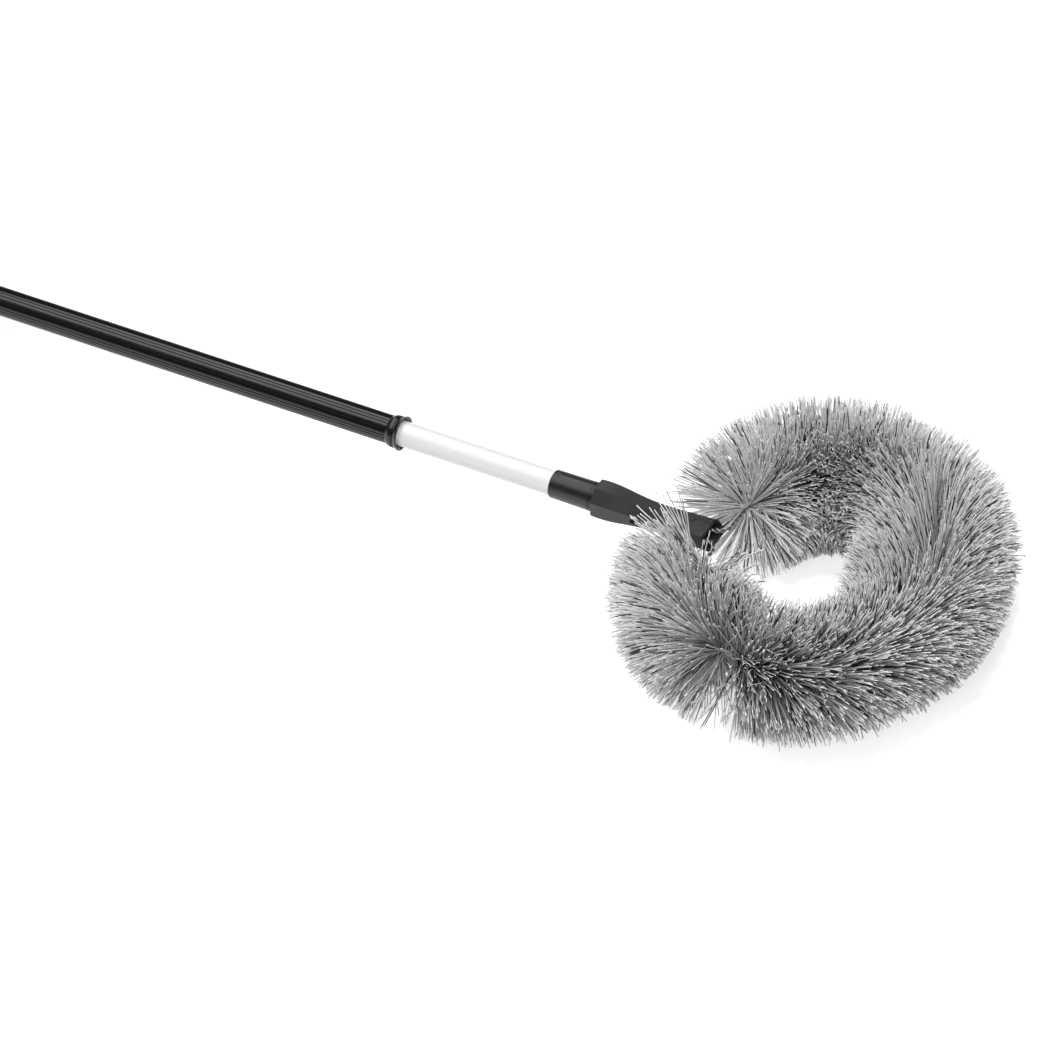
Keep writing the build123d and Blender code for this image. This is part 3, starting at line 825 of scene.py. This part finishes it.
# The filament bends more and more towards its tip, and stays between the floor and the top.
up_it = add_node(tuft_tree, "GeometryNodeSplineParameter").outputs["Factor"]
square = add_node(tuft_tree, "ShaderNodeMath", {"operation": "MULTIPLY"}, {0: up_it, 1: up_it})
own_bend = add_node(tuft_tree, "GeometryNodeInputNamedAttribute", {"data_type": "FLOAT_VECTOR"}, {
    "Name": "bend",
})
sway = add_node(tuft_tree, "ShaderNodeVectorMath", {"operation": "SCALE"}, {
    "Vector": own_bend.outputs["Attribute"],
    "Scale": square.outputs["Value"],
})
swayed = add_node(tuft_tree, "GeometryNodeSetPosition", {}, {
    "Geometry": real.outputs["Geometry"],
    "Offset": sway.outputs["Vector"],
})
spot = add_node(tuft_tree, "GeometryNodeInputPosition").outputs["Position"]
split = add_node(tuft_tree, "ShaderNodeSeparateXYZ", {}, {"Vector": spot}).outputs
lifted = add_node(tuft_tree, "ShaderNodeClamp", {}, {
    "Value": split["Z"],
    "Min": tuft["Floor"],
    "Max": tuft["Top"],
})
level = add_node(tuft_tree, "ShaderNodeCombineXYZ", {}, {
    "X": split["X"],
    "Y": split["Y"],
    "Z": lifted.outputs["Result"],
})
landed = add_node(tuft_tree, "GeometryNodeSetPosition", {}, {
    "Geometry": swayed.outputs["Geometry"],
    "Position": level.outputs["Vector"],
})

# The real filaments are all one grey: most are painted pale, some dark and few are between, as
# painted light and painted shade among them. Each is painted darker towards its root, by as much as
# its place on the ring gives, for the shade that its neighbours cast there.
dark_below, pale_above = 0.19, 0.34
tip_least = 0.65

own_shade = add_node(tuft_tree, "GeometryNodeInputNamedAttribute", {"data_type": "FLOAT"}, {
    "Name": "shade",
})
painted_root_light = add_node(tuft_tree, "GeometryNodeInputNamedAttribute", {"data_type": "FLOAT"}, {
    "Name": "root",
})
# Painted shade: the filament's own chance and its clump's split it into painted dark and painted
# pale.
filament_painted_shade = add_node(tuft_tree, "ShaderNodeMapRange", {}, {
    "Value": own_shade.outputs["Attribute"],
    "From Min": dark_below,
    "From Max": pale_above,
})
# Painted shade: where the root is painted dark, the tip is painted less pale too.
own_top = add_node(tuft_tree, "ShaderNodeMath", {"operation": "MULTIPLY_ADD"}, {
    0: painted_root_light.outputs["Attribute"],
    1: 1 - tip_least,
    2: tip_least,
})
# Painted shade: the colour rises from the root's painted light towards the tip.
rise = add_node(tuft_tree, "ShaderNodeMapRange", {}, {
    "Value": up_it,
    "To Min": painted_root_light.outputs["Attribute"],
    "To Max": own_top.outputs["Value"],
})
body_shade = add_node(tuft_tree, "ShaderNodeMath", {"operation": "MULTIPLY", "use_clamp": True}, {
    0: filament_painted_shade.outputs["Result"],
    1: rise.outputs["Result"],
})
shaded = add_node(tuft_tree, "GeometryNodeStoreNamedAttribute", {"data_type": "FLOAT"}, {
    "Geometry": landed.outputs["Geometry"],
    "Name": "shade",
    "Value": body_shade.outputs["Value"],
})
measured = add_node(tuft_tree, "GeometryNodeStoreNamedAttribute", {"data_type": "FLOAT"}, {
    "Geometry": shaded.outputs["Geometry"],
    "Name": "along",
    "Value": up_it,
})
half_size = add_node(tuft_tree, "ShaderNodeMath", {"operation": "DIVIDE"}, {
    0: tuft["Thickness"],
    1: 2,
})
outline = add_node(tuft_tree, "GeometryNodeCurvePrimitiveCircle", {}, {
    "Resolution": filament_sides,
    "Radius": half_size.outputs["Value"],
})
body = add_node(tuft_tree, "GeometryNodeCurveToMesh", {}, {
    "Curve": measured.outputs["Geometry"],
    "Profile Curve": outline.outputs["Curve"],
    "Fill Caps": True,
})
whole_body = add_node(tuft_tree, "GeometryNodeRealizeInstances", {}, {
    "Geometry": body.outputs["Mesh"],
})
coated = add_node(tuft_tree, "GeometryNodeSetMaterial", {}, {
    "Geometry": whole_body.outputs["Geometry"],
    "Material": tuft["Material"],
})
add_node(tuft_tree, "NodeGroupOutput", {}, {"Geometry": coated.outputs["Geometry"]})

# Twelve tufts stand one after another on the wires, between the two bare ends. Spread is a share of
# the length, and bend, tangle and wisp are how far a tip may be moved, in metres.
bristle_start = shank_total + bare_far
tuft_step = (loop_total - shank_total - bare_near - bristle_start) / tuft_count
for number in range(tuft_count):
    name = f"bristle_tuft_{number + 1:02d}"
    tuft_start = bristle_start + number * tuft_step
    piece = grow(
        loop_line(f"{name}_line", tuft_start, tuft_start + tuft_step, tuft_spacing),
        tuft_tree,
        {
            "Filaments": filaments_per_tuft,
            "Length": filament_length,
            "Thickness": filament_size,
            "First": number / tuft_count,
            "Last": (number + 1) / tuft_count,
            "Spread": 0.12,
            "Bend": 0.0008,
            "Tangle": 0.018,
            "Wisp": 0.007,
            "Floor": floor_clearance,
            "Top": bristle_top,
            "Seed": seed_step * number,
            "Material": bristle,
        },
        f"{name}_filaments",
    )
    piece.data.shade_smooth()
    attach(piece, "brush_head")
    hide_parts(name)

# Studio: a white floor that keeps the brush's soft shadow, in a white room. A broad lamp over the
# pole lights it from above, a small one over the ring gives the bristles their contrast, and one
# at the near side fills the shadows. The floor's own faint glow is for the camera and reflections.
floor_reach = 6
floor_glow = 0.69
room_light = 0.12
floor_mesh = bpy.data.meshes.new("studio_floor")
floor_mesh.from_pydata(
    [(x * floor_reach, y * floor_reach, 0) for x, y in ((-1, -1), (1, -1), (1, 1), (-1, 1))],
    [],
    [(0, 1, 2, 3)],
)
floor = bpy.data.objects.new("studio_floor", floor_mesh)
scene.collection.objects.link(floor)
paper = bpy.data.materials.new("white studio floor")
paper.use_nodes = True
paper_tree = paper.node_tree
paper_tree.nodes.clear()
paper_rays = add_node(paper_tree, "ShaderNodeLightPath").outputs
paper_seen = add_node(paper_tree, "ShaderNodeMath", {"operation": "MAXIMUM"}, {
    0: paper_rays["Is Camera Ray"],
    1: paper_rays["Is Glossy Ray"],
})
paper_lift = add_node(paper_tree, "ShaderNodeMath", {"operation": "MULTIPLY"}, {
    0: paper_seen.outputs["Value"],
    1: floor_glow,
})
paper_matt = add_node(paper_tree, "ShaderNodeBsdfDiffuse", {}, {"Color": linear("#f2f2f2")})
paper_glow = add_node(paper_tree, "ShaderNodeEmission", {}, {
    "Strength": paper_lift.outputs["Value"],
})
paper_both = add_node(paper_tree, "ShaderNodeAddShader", {}, {
    0: paper_matt.outputs[0],
    1: paper_glow.outputs[0],
})
add_node(paper_tree, "ShaderNodeOutputMaterial", {}, {"Surface": paper_both.outputs[0]})
floor_mesh.materials.append(paper)

world = bpy.data.worlds.new("studio")
scene.world = world
world.use_nodes = True
world_tree = world.node_tree
world_tree.nodes.clear()
world_rays = add_node(world_tree, "ShaderNodeLightPath").outputs
world_seen = add_node(world_tree, "ShaderNodeMath", {"operation": "MAXIMUM"}, {
    0: world_rays["Is Camera Ray"],
    1: world_rays["Is Transmission Ray"],
})
world_power = add_node(world_tree, "ShaderNodeMapRange", {}, {
    "Value": world_seen.outputs["Value"],
    "To Min": room_light,
    "To Max": 1,
})
world_light = add_node(world_tree, "ShaderNodeBackground", {}, {
    "Color": linear("#ffffff"),
    "Strength": world_power.outputs["Result"],
})
add_node(world_tree, "ShaderNodeOutputWorld", {}, {"Surface": world_light.outputs[0]})

lamp_aim = Vector((0.35, 0, 0.05))
lamps = {
    "overhead lamp": {"place": Vector((-1.0, 0.2, 2.1)), "size": (3.6, 1.4), "power": 44},
    "key lamp": {"place": Vector((0.6, -0.2, 1.4)), "size": (0.2, 0.2), "power": 9},
    "fill lamp": {"place": Vector((0.9, -1.8, 1.8)), "size": (0.8, 0.8), "power": 14.5},
}
for name, lamp in lamps.items():
    lamp_data = bpy.data.lights.new(name, "AREA")
    lamp_data.shape = "RECTANGLE"
    lamp_data.size, lamp_data.size_y = lamp["size"]
    lamp_data.energy = lamp["power"]
    lamp_object = bpy.data.objects.new(name, lamp_data)
    scene.collection.objects.link(lamp_object)
    lamp_object.location = lamp["place"]
    lamp_object.rotation_euler = (lamp_aim - lamp["place"]).to_track_quat("-Z", "Y").to_euler()

scene.view_settings.view_transform = "Standard"
